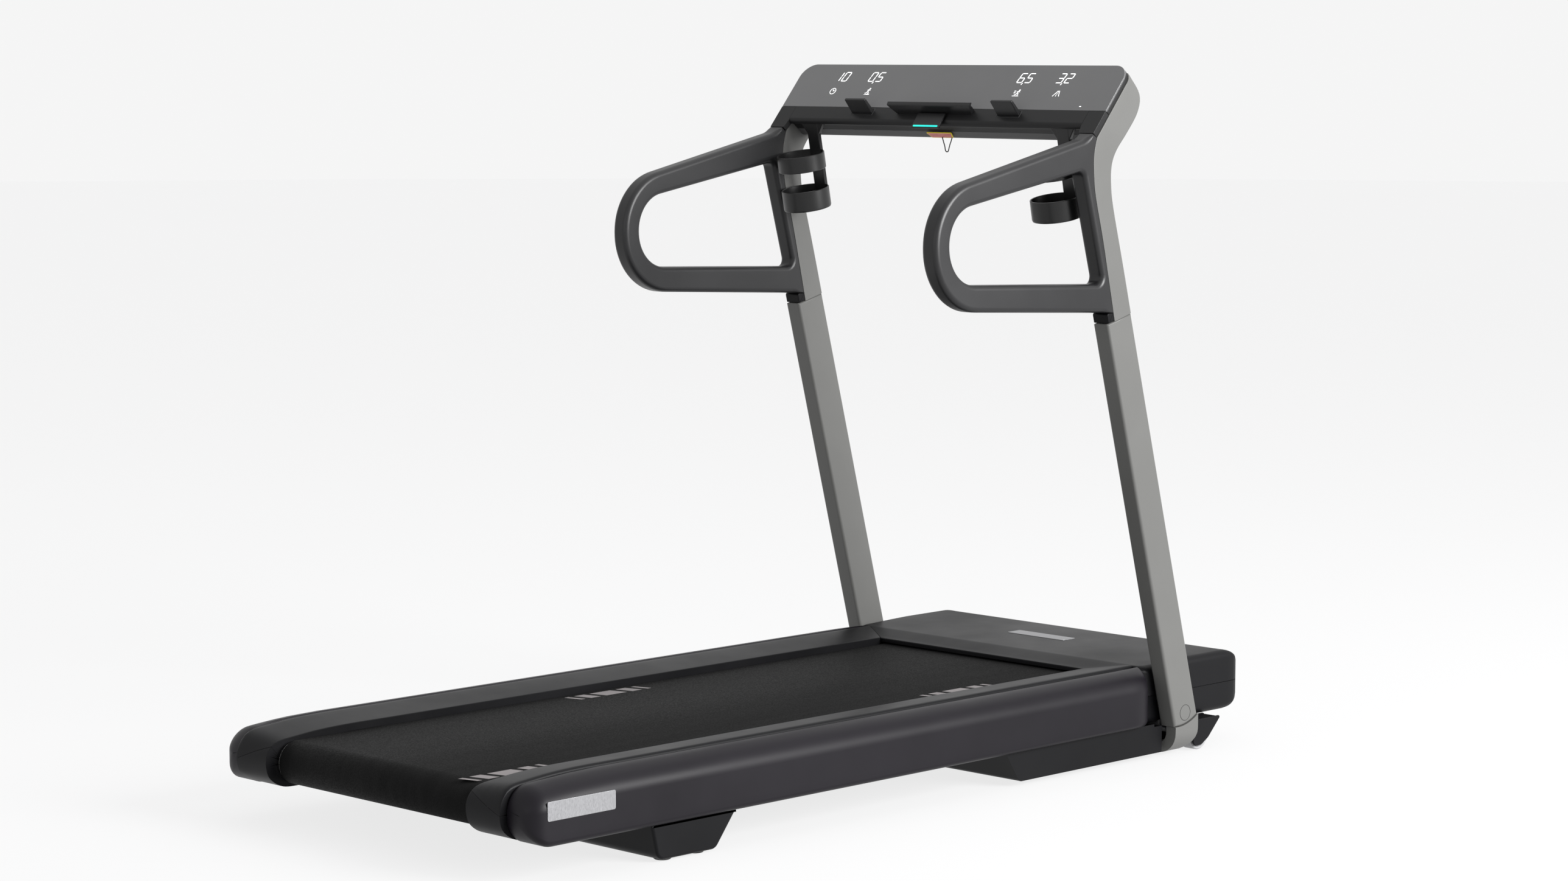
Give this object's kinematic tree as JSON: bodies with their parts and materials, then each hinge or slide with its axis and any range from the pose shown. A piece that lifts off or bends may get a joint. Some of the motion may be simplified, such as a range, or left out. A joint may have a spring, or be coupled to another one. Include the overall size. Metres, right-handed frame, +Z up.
{
  "type": "treadmill",
  "caption": "Home treadmill with a flat running deck, leaning uprights, loop handles, bottle rings and a wide glass-faced console.",
  "frame": {"origin": "centre of the bounding box on the floor", "axes": "+X to the user's right, +Y forward along the deck towards the console, +Z up"},
  "size_m": [0.785, 1.77, 1.2274],
  "materials": {
    "frame_steel": "satin powder coat",
    "black_cover": "satin, fine grain",
    "panel_dark": "satin, fine grain",
    "rubber_black": "matte",
    "board_wood": "sealed, waxed top",
    "zinc_steel": "zinc plated",
    "belt_rubber": "pebbled",
    "badge_metal": "satin",
    "pulley_metal": "machined",
    "board_green": "solder mask",
    "switch_red": "gloss",
    "wheel_tyre": "matte",
    "upright_grey": "satin powder coat",
    "handle_grey": "soft touch, fine grain",
    "cover_grey": "satin, fine grain",
    "display_glass": "gloss, dark back print",
    "lever_black": "satin",
    "light_teal": "lit, translucent",
    "key_red": "translucent, yellow edge",
    "cord_black": "braided"
  },
  "bodies": {
    "base": {"frame_rails": "frame_steel", "frame_crossmembers": "frame_steel", "rear_foot": "black_cover", "rear_foot_pads": "rubber_black", "belly_pan": "black_cover", "deck_board": "board_wood", "deck_cushions": "rubber_black", "deck_screws": "zinc_steel", "running_belt": "belt_rubber", "left_top_rail": "black_cover", "right_top_rail": "black_cover", "left_side_panel": "panel_dark", "right_side_panel": "panel_dark", "end_caps": "black_cover", "hood": "black_cover", "front_lower_cover": "black_cover", "badge_plates": "badge_metal", "roller_axles": "zinc_steel", "motor_case": "frame_steel", "motor_bracket": "frame_steel", "drive_belt": "belt_rubber", "motor_controller": "board_green", "power_inlet": "black_cover", "lift_motor": "frame_steel", "lift_pivot_shaft": "zinc_steel", "left_upright": "upright_grey", "right_upright": "upright_grey", "upright_feet": "upright_grey", "clamp_bolts": "zinc_steel", "bolt_caps": "upright_grey", "left_upper_arm": "upright_grey", "right_upper_arm": "upright_grey", "left_handle": "handle_grey", "right_handle": "handle_grey", "handle_end_blocks": "black_cover", "console_face": "black_cover", "console_back_cover": "cover_grey", "display_glass": "display_glass", "display_board": "board_green", "tablet_shelf": "black_cover", "lever_pins": "zinc_steel", "bottle_holders": "black_cover"},
    "front_roller": {"front_roller": "zinc_steel", "roller_pulley": "pulley_metal"},
    "rear_roller": {"rear_roller": "zinc_steel"},
    "motor_rotor": {"motor_rotor": "zinc_steel"},
    "lift_frame": {"lift_pivot_tube": "frame_steel", "lift_arms": "frame_steel", "lift_axle": "zinc_steel", "wheel_guards": "black_cover"},
    "lift_screw": {"lift_screw_tube": "zinc_steel"},
    "left_wheel": {"left_wheel": "wheel_tyre"},
    "right_wheel": {"right_wheel": "wheel_tyre"},
    "incline_lever": {"incline_lever": "lever_black"},
    "speed_lever": {"speed_lever": "lever_black"},
    "start_paddle": {"start_paddle": "lever_black", "start_light": "light_teal"},
    "safety_key": {"safety_key": "key_red", "safety_lanyard": "cord_black"},
    "power_switch": {"power_switch": "switch_red"}
  },
  "joints": [
    {"name": "front_roller_spin", "type": "hinge", "parent": "base", "child": "front_roller", "pos_m": [0, 0.625, 0.107], "axis": [-1, 0, 0], "continuous": true},
    {"name": "rear_roller_spin", "type": "hinge", "parent": "base", "child": "rear_roller", "pos_m": [0, -0.83, 0.107], "axis": [-1, 0, 0], "continuous": true},
    {"name": "motor_spin", "type": "hinge", "parent": "base", "child": "motor_rotor", "pos_m": [0, 0.778, 0.11], "axis": [-1, 0, 0], "continuous": true},
    {"name": "lift_swing", "type": "hinge", "parent": "base", "child": "lift_frame", "pos_m": [0, 0.44, 0.045], "axis": [-1, 0, 0], "range_deg": [0, 33]},
    {"name": "lift_screw_slide", "type": "slide", "parent": "base", "child": "lift_screw", "axis": [0, 1, 0], "range_m": [0, 0.0345]},
    {"name": "left_wheel_spin", "type": "hinge", "parent": "lift_frame", "child": "left_wheel", "pos_m": [-0.36, 0.729, 0.026], "axis": [-1, 0, 0], "continuous": true},
    {"name": "right_wheel_spin", "type": "hinge", "parent": "lift_frame", "child": "right_wheel", "pos_m": [0.36, 0.729, 0.026], "axis": [-1, 0, 0], "continuous": true},
    {"name": "incline_lever_tilt", "type": "hinge", "parent": "base", "child": "incline_lever", "pos_m": [-0.177, 0.4363, 1.13334], "axis": [1, 0, 0], "range_deg": [-7, 7], "stiffness_Nm_per_rad": 0.6},
    {"name": "speed_lever_tilt", "type": "hinge", "parent": "base", "child": "speed_lever", "pos_m": [0.177, 0.4363, 1.13334], "axis": [1, 0, 0], "range_deg": [-7, 7], "stiffness_Nm_per_rad": 0.6},
    {"name": "start_press", "type": "hinge", "parent": "base", "child": "start_paddle", "pos_m": [0, 0.4249, 1.13376], "axis": [1, 0, 0], "range_deg": [0, 4], "stiffness_Nm_per_rad": 0.8},
    {"name": "key_pull", "type": "slide", "parent": "base", "child": "safety_key", "axis": [0, -0.6159, -0.7878], "range_m": [0, 0.025]},
    {"name": "power_rock", "type": "hinge", "parent": "base", "child": "power_switch", "pos_m": [-0.117, 0.87, 0.089], "axis": [1, 0, 0], "range_deg": [0, 14]}
  ],
  "couplings": [
    {"joint": "rear_roller_spin", "follows": "front_roller_spin", "ratio": 1},
    {"joint": "motor_spin", "follows": "front_roller_spin", "ratio": 2.625},
    {"joint": "lift_screw_slide", "follows": "lift_swing", "m_per_rad": 0.0592}
  ]
}
